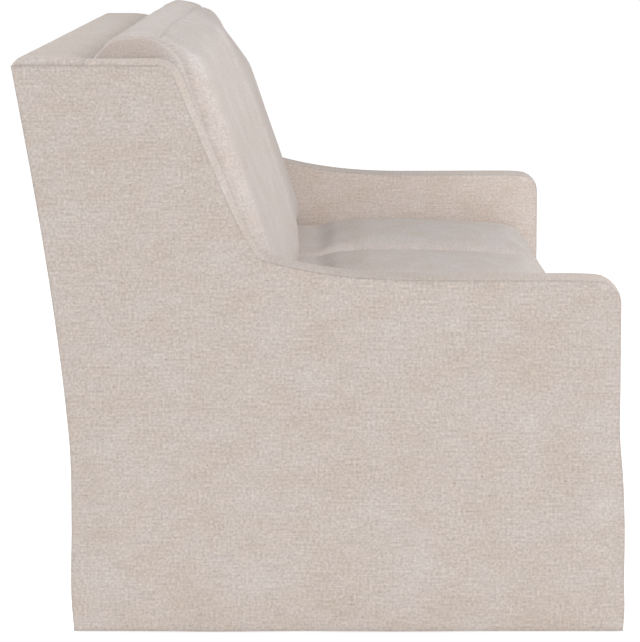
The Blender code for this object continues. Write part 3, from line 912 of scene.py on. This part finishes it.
# %% The seat cushions
SEAT_SEAM = 0.450  # height of the top seam
SEAT_START = 0.044  # the crown before the filling
SEAT_DOME = 0.36
SEAT_SET_BACK = 0.030  # the top front seam stands this far behind the lower one
BACK_FOOT = 0.475  # height at which a back cushion stands on the seat
DRAWN_IN = 0.005  # the sides, halfway between their corners
UNDER_BACK_Y = -0.090  # the seat is level from the back cushions' front on, and eases down to there
UNDER_BACK_EASE = 0.090


def under_back(y):
    """From 0 in front to 1 where the back cushions press the seat level."""
    return np.clip((y - UNDER_BACK_Y) / UNDER_BACK_EASE, 0.0, 1.0)


def seat_cushion(hand, middle_x, width):
    front = front_edge(SEAT_SEAM)
    rear = inner_back(DECK_TOP) - 2 * GAP
    half = Vector((width / 2, (rear - front) / 2, (SEAT_SEAM - DECK_TOP - GAP) / 2))
    centre = Vector((middle_x, (rear + front) / 2, DECK_TOP + GAP + half.z))

    def place(a, b, c):
        x = a * (half.x - PUFF - DRAWN_IN * (1 - b * b) * c * c)
        y = b * (half.y - PUFF - DRAWN_IN * (1 - a * a) * c * c)
        y += SEAT_SET_BACK * max(-b, 0.0) ** 2 * ((1 + c) / 2) ** 3
        z = c * (half.z - PUFF if c < 0 else half.z)
        if c > 0:
            crowned = z + c * SEAT_START * dome(a, b, SEAT_DOME)
            level = min(crowned, BACK_FOOT - GAP - centre.z)
            z = crowned + (level - crowned) * float(under_back(centre.y + y))
        return centre + Vector((x, y, z))

    piece = shape_cushion(f"seat_cushion_{hand}_cloth", f"seat_cushion_{hand}", half, place)
    return piece


SEAT_ROOM = 2 * SEAT_HALF
seats = []
for i, hand in enumerate(("left", "middle", "right")):
    width = SEAT_ROOM / 3
    seats.append(seat_cushion(hand, (i - 1) * width, width - 2 * GAP))

# %% [markdown]
# Two back cushions stand on the seat and lean on the inside back. From the end, the front seam goes up and
# back in a straight line, then bends over a rounded shoulder, so that the front panel wraps onto the top.
# Away from its ends the front swells out and the shoulder grows fuller. Each cushion is leaner at its outer
# end, beside the wing, where the front panel turns back a little round the corner. The outline of such a
# section is drawn as a line for any place along the cushion, and a patch between its four sides gives the
# places on the end boxing. The right cushion has settled back at its outer shoulder.

# %% The section of a back cushion
BACK_SEAM_TOP = 0.976  # height of the top seam at its ends
BACK_CROWN = 0.008  # how far that seam rises in between
BACK_BULGE = 0.028  # how far the front swells where it is fullest
BULGE_POWER = 3
BACK_SHOULDER, SHOULDER_Y = 0.9302, 0.2094  # a place on the front seam at an end, and the seam's slope
BACK_FRONT_SLOPE = 0.358
SHOULDER_DROP = 0.046  # from the top seam down to where the front is straight
TOP_SEAM_Y = 0.2690
SHARP_SHOULDER, FULL_SHOULDER = 1.5, 2.1
REAR_CORNER = 0.065
FOOT_CORNER = 0.020
LEAN_POWER = 2.0
END_FULLNESS = 0.16  # how full a cushion is just inside its outer end
END_REACH = 0.055
INNER_END_POWER = 12  # the higher, the more suddenly its fullness ends at the inner end
WRAP = 0.022  # the front panel turns back by this at its outer end, over the last WRAP_REACH
WRAP_REACH = 0.032
SETTLED = 0.040  # how far the right cushion's shoulder has settled back, at its outer end
SETTLED_FROM, SETTLED_TO = 0.840, 0.940  # heights
SETTLED_POWER = 1.5
SETTLED_DROP = 0.30  # how much lower its top seam is, as a share of that
FRONT_STEPS_UP, REAR_STEPS_UP, SHOULDER_STEPS, REAR_CORNER_STEPS = 40, 30, 20, 10  # points along each line


def back_front_edge(z, full, settled=0.0):
    """The front panel's y at this height, swelling out by `full` and set back by `settled`."""
    height = as_share((z - BACK_FOOT) / (BACK_SEAM_TOP - BACK_FOOT))
    bulge = full * BACK_BULGE * (1 - abs(2 * height - 1) ** BULGE_POWER)
    back = settled * as_share((z - SETTLED_FROM) / (SETTLED_TO - SETTLED_FROM))
    return SHOULDER_Y - BACK_FRONT_SLOPE * (BACK_SHOULDER - z) - bulge + back


def wrap(from_end):
    """How far the front panel has turned back, this near to its outer end."""
    near = 1 - min(from_end / WRAP_REACH, 1.0)
    return WRAP * (1 - math.sqrt(1 - near * near))


def rear_line(z):
    """The rear panel's y, where it leans on the inside back."""
    return inner_back(min(z, WING_TOP)) - 2 * GAP


def by_share(points):
    """Reads a line of points by the share of its length."""
    points = np.array(points)
    lengths = np.concatenate([[0.0], np.cumsum(np.hypot(*np.diff(points, axis=0).T))])
    return lambda share: np.array([np.interp(share, lengths / lengths[-1], points[:, k]) for k in (0, 1)])


def front_line(share, settled):
    """The front panel's line, from the foot, over the shoulder, to the top seam."""
    full = fullness(share)
    settled *= (1 - share) ** SETTLED_POWER
    top = BACK_SEAM_TOP + BACK_CROWN * math.sin(math.pi * share) - SETTLED_DROP * settled
    middle_z = top - SHOULDER_DROP
    reach = TOP_SEAM_Y - back_front_edge(middle_z, full, settled)
    power = SHARP_SHOULDER + (FULL_SHOULDER - SHARP_SHOULDER) * full
    points = [(back_front_edge(BACK_FOOT, full) + FOOT_CORNER, BACK_FOOT)]
    heights = np.linspace(BACK_FOOT + FOOT_CORNER, middle_z, FRONT_STEPS_UP)
    points += [(back_front_edge(z, full, settled), z) for z in heights]
    for angle in np.linspace(0, math.pi / 2, SHOULDER_STEPS)[1:]:
        side, up = math.cos(angle) ** (2 / power), math.sin(angle) ** (2 / power)
        points.append((TOP_SEAM_Y - reach * side, middle_z + SHOULDER_DROP * up))
    return by_share(points)


def rear_corner(angle):
    """A place on the rounded rear corner, by the angle of its radius above level."""
    z = BACK_SEAM_TOP - REAR_CORNER * (1 - math.sin(angle))
    y = rear_line(BACK_SEAM_TOP) - REAR_CORNER * (1 - math.cos(angle))
    return min(y, rear_line(z)), z


def rear_side():
    """The rear panel's line, from the foot to the middle of the rounded rear corner."""
    points = [(rear_line(BACK_FOOT) - FOOT_CORNER, BACK_FOOT)]
    heights = np.linspace(BACK_FOOT + FOOT_CORNER, BACK_SEAM_TOP - REAR_CORNER, REAR_STEPS_UP)
    points += [(rear_line(z), z) for z in heights]
    points += [rear_corner(angle) for angle in np.linspace(0, math.pi / 4, REAR_CORNER_STEPS)[1:]]
    return by_share(points)


def top_line(start):
    """The top boxing's line, from the front seam to the middle of the rear corner."""
    angles = np.linspace(math.pi / 2, math.pi / 4, REAR_CORNER_STEPS)
    return by_share([tuple(start)] + [rear_corner(angle) for angle in angles])


def fullness(share):
    """From 0 at the outer end to its most near the inner one."""
    swelling = share**LEAN_POWER * math.sqrt(max(1 - share**INNER_END_POWER, 0.0))
    outer = END_FULLNESS * (1 - math.exp(-share / END_REACH)) * max(1 - share, 0.0) ** 0.5
    return swelling + outer


print("fullness along a back cushion", [round(fullness(t), 2) for t in np.linspace(0, 1, 9)])

# %% [markdown]
# The front panel also shows soft upright folds beside its outer end, where the cloth is drawn between the
# shoulder and the seat. They are listed, a row for each fold.

# %% The back cushions
BACK_HALF_DEPTH = 0.110  # its grid's, as the section itself is set by its lines
BACK_LINE_EXTRA = 0.030  # half of how much longer the front line is than the cushion is tall
Fold = namedtuple("Fold", "from_end width out height reach lean")
FOLDS = (
    Fold(0.030, 0.012, 0.0030, 0.84, 0.13, 0.03),
    Fold(0.066, 0.014, 0.0042, 0.86, 0.12, 0.06),
    Fold(0.108, 0.017, 0.0036, 0.83, 0.13, 0.10),
    Fold(0.160, 0.022, 0.0030, 0.80, 0.14, 0.14),
    Fold(0.790, 0.024, 0.0030, 0.84, 0.12, -0.10),
    Fold(0.905, 0.018, 0.0036, 0.80, 0.15, -0.05),
)


def folds(from_end, z):
    """How far the upright folds stand out of the front."""
    out = 0.0
    for row in FOLDS:
        middle = row.from_end + row.lean * (row.height - z)
        beside, above = (from_end - middle) / row.width, (z - row.height) / row.reach
        out += row.out * math.exp(-(beside**2) - above**2)
    return out


def back_cushion(hand, side, middle_x, width, settled):
    half = Vector((width / 2, BACK_HALF_DEPTH, (BACK_SEAM_TOP - BACK_FOOT) / 2 + BACK_LINE_EXTRA))
    sections = {}

    def section(share):
        """The sides at this place along the cushion. They are kept, because a whole ring asks for them."""
        if share not in sections:
            front = front_line(share, settled)
            sections[share] = (front, rear_side(), top_line(front(1.0)))
        return sections[share]

    def place(a, b, c):
        share = round((1 - side * a) / 2, 5)
        front, rear, top = section(share)
        p, q = (b + 1) / 2, (c + 1) / 2
        foot = front(0.0) + p * (rear(0.0) - front(0.0))
        corners = (1 - q) * foot + q * ((1 - p) * front(1.0) + p * rear(1.0))
        y, z = (1 - p) * front(q) + p * rear(q) + (1 - q) * foot + q * top(p) - corners
        y += (1 - p) * wrap(share * width)
        if b > 0:
            y -= PUFF * b
        if b < -AT_FACE:
            y -= folds(share * width, z)
        return Vector((middle_x + a * (half.x - PUFF), y, z))

    piece = shape_cushion(f"back_cushion_{hand}_cloth", f"back_cushion_{hand}", half, place)
    return piece


backs = []
for side, hand, settled in ((-1, "left", 0.0), (1, "right", SETTLED)):
    width = SEAT_ROOM / 2
    backs.append(back_cushion(hand, side, side * width / 2, width - 2 * GAP, settled))

# %% [markdown]
# All five cushions are filled at once: each gets the Cloth modifier, with its seams pinned and its cloth a
# little too large for them, and the frames are stepped together, so that the machine's cores share the
# work. The air pushes the spare cloth out into soft puckers beside the seams. Afterwards each point's
# travel is capped, what rests or is pressed is set back to its plane, the seams are sunk by a millimetre,
# and one subdivision smooths the result.

# %% Filling the cushions
FILL_FRAMES = 20
FILL_PRESSURE = 4.0
FILL_CAP = 0.006  # no point travels further than this
SPARE_CLOTH = 0.022
SEAM_SUNK = 0.0010
LEAST_TRAVEL = 1e-9
CEILING_RISE = 0.06  # room over the seat, in front of the back cushions


def add_air(piece):
    """Cloth with pressure inside it, held along its seams."""
    cloth = piece.modifiers.new("air", "CLOTH")
    settings = cloth.settings
    settings.quality = 5
    settings.mass = 0.3
    settings.tension_stiffness = 12
    settings.compression_stiffness = 12
    settings.shear_stiffness = 6
    settings.bending_stiffness = 0.4
    settings.use_pressure = True
    settings.uniform_pressure_force = FILL_PRESSURE
    settings.effector_weights.gravity = 0.0
    settings.vertex_group_mass = "sewn"
    settings.shrink_min = -SPARE_CLOTH


def capped(piece, start, limit):
    """Caps each point's travel, then keeps it inside `limit`, which sets back what touches something."""
    graph = bpy.context.evaluated_depsgraph_get()
    filled = piece.evaluated_get(graph).data
    points = np.empty(len(piece.data.vertices) * 3)
    filled.vertices.foreach_get("co", points)
    move = points.reshape(-1, 3) - start
    far = np.linalg.norm(move, axis=1, keepdims=True)
    move *= FILL_CAP * np.tanh(far / FILL_CAP) / np.maximum(far, LEAST_TRAVEL)
    return limit(start + move)


def seat_limit(points):
    points[:, 2] = np.maximum(points[:, 2], DECK_TOP + GAP)
    ceiling = BACK_FOOT - GAP + (1 - under_back(points[:, 1])) * CEILING_RISE
    points[:, 2] = np.minimum(points[:, 2], ceiling)
    points[:, 1] = np.minimum(points[:, 1], inner_back(DECK_TOP) - 2 * GAP)
    return points


def back_limit(points):
    points[:, 2] = np.maximum(points[:, 2], BACK_FOOT)
    rear = INNER_TOP_Y - INNER_SLOPE * np.maximum(WING_TOP - points[:, 2], 0.0) - 2 * GAP
    points[:, 1] = np.minimum(points[:, 1], rear)
    return points


def corners_of(piece):
    points = np.empty(len(piece.data.vertices) * 3)
    piece.data.vertices.foreach_get("co", points)
    return points.reshape(-1, 3)


cushions = [(piece, seat_limit) for piece in seats] + [(piece, back_limit) for piece in backs]
starts = {piece.name: corners_of(piece) for piece, _ in cushions}

for piece, _ in cushions:
    add_air(piece)
for step in range(1, FILL_FRAMES + 1):
    bpy.context.scene.frame_set(step)
for piece, limit in cushions:
    start = starts[piece.name]
    points = capped(piece, start, limit)
    low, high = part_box(piece.name.replace("_cloth", ""))
    points[:, 0] = np.clip(points[:, 0], low[0], high[0])
    piece.modifiers.clear()
    piece.data.vertices.foreach_set("co", points.ravel())
    piece.data.update()
    travel = np.linalg.norm(points - start, axis=1)
    print(piece.name, "moved up to", round(float(travel.max()) * 1000, 1), "mm")
bpy.context.scene.frame_set(1)

for piece, _ in cushions:
    normals = np.empty(len(piece.data.vertices) * 3)
    marks = np.empty(len(piece.data.vertices))
    piece.data.vertex_normals.foreach_get("vector", normals)
    piece.data.attributes["seam"].data.foreach_get("value", marks)
    points = corners_of(piece) - normals.reshape(-1, 3) * (marks * SEAM_SUNK)[:, None]
    piece.data.vertices.foreach_set("co", points.ravel())
    piece.data.update()
    finer = piece.modifiers.new("finer", "SUBSURF")
    finer.levels = finer.render_levels = 1

# %% [markdown]
# The set is a lit white table with nothing on it, as for a cut-out product picture. It lights the cloth a
# little from below, and it glows more to the eye than on the cloth, so that it stays white right up to the
# hem, which hangs just clear of it. A soft white sky gives the rest of the fill. Three broad lamps shape
# the cover: one behind the camera, one above the seat and one high behind the back. Colours are shown as
# they are, with no film curve, because the picture's white ground has to come out white.

# %% The floor and the lights
HEM_ABOVE_FLOOR = 0.004
FLOOR_SIZE = 300.0
FLOOR_WHITE = 0.55
FLOOR_GLOW = 0.37
FLOOR_GLOW_SEEN = 0.85
SKY_STRENGTH = 0.34
SKY_COLOUR = (0.965, 0.985, 1.0)

Lamp = namedtuple("Lamp", "name size power place target")
LAMPS = (
    Lamp("end_lamp", 8.0, 735.0, (-13.0, -1.6, 3.4), (-1.0, 0.0, 0.5)),
    Lamp("seat_lamp", 2.5, 56.0, (-0.6, -2.2, 2.4), (0.6, 0.0, 0.5)),
    Lamp("rear_lamp", 3.0, 180.0, (0.0, 5.0, 3.5), (0.0, 0.4, 0.5)),
)


def lit_table():
    shape = bmesh.new()
    bmesh.ops.create_grid(shape, x_segments=1, y_segments=1, size=FLOOR_SIZE / 2)
    bmesh.ops.translate(shape, verts=shape.verts, vec=(0, 0, -HEM_ABOVE_FLOOR))
    mesh = bpy.data.meshes.new("floor")
    shape.to_mesh(mesh)
    shape.free()
    paper = bpy.data.materials.new("white_table")
    paper.use_nodes = True
    shader = paper.node_tree.nodes["Principled BSDF"]
    shader.inputs["Base Color"].default_value = (FLOOR_WHITE, FLOOR_WHITE, FLOOR_WHITE, 1.0)
    shader.inputs["Roughness"].default_value = 1.0
    shader.inputs["Specular IOR Level"].default_value = 0.0
    shader.inputs["Emission Color"].default_value = (1.0, 1.0, 1.0, 1.0)
    seen = paper.node_tree.nodes.new("ShaderNodeLightPath").outputs["Is Camera Ray"]
    glow = math_node(paper.node_tree, "MULTIPLY_ADD", seen, FLOOR_GLOW_SEEN - FLOOR_GLOW, FLOOR_GLOW)
    paper.node_tree.links.new(glow, shader.inputs["Emission Strength"])
    mesh.materials.append(paper)
    floor = bpy.data.objects.new("floor", mesh)
    bpy.context.scene.collection.objects.link(floor)


def soft_lamp(row):
    lamp = bpy.data.lights.new(row.name, "AREA")
    lamp.shape = "SQUARE"
    lamp.size = row.size
    lamp.energy = row.power
    thing = bpy.data.objects.new(row.name, lamp)
    thing.location = row.place
    thing.rotation_euler = (Vector(row.target) - Vector(row.place)).to_track_quat("-Z", "Y").to_euler()
    bpy.context.scene.collection.objects.link(thing)


lit_table()
for row in LAMPS:
    soft_lamp(row)
sky = bpy.data.worlds.new("soft_white")
sky.use_nodes = True
sky.node_tree.nodes["Background"].inputs["Color"].default_value = (*SKY_COLOUR, 1.0)
sky.node_tree.nodes["Background"].inputs["Strength"].default_value = SKY_STRENGTH
bpy.context.scene.world = sky
bpy.context.scene.view_settings.view_transform = "Standard"
print("lamps:", [row.name for row in LAMPS])
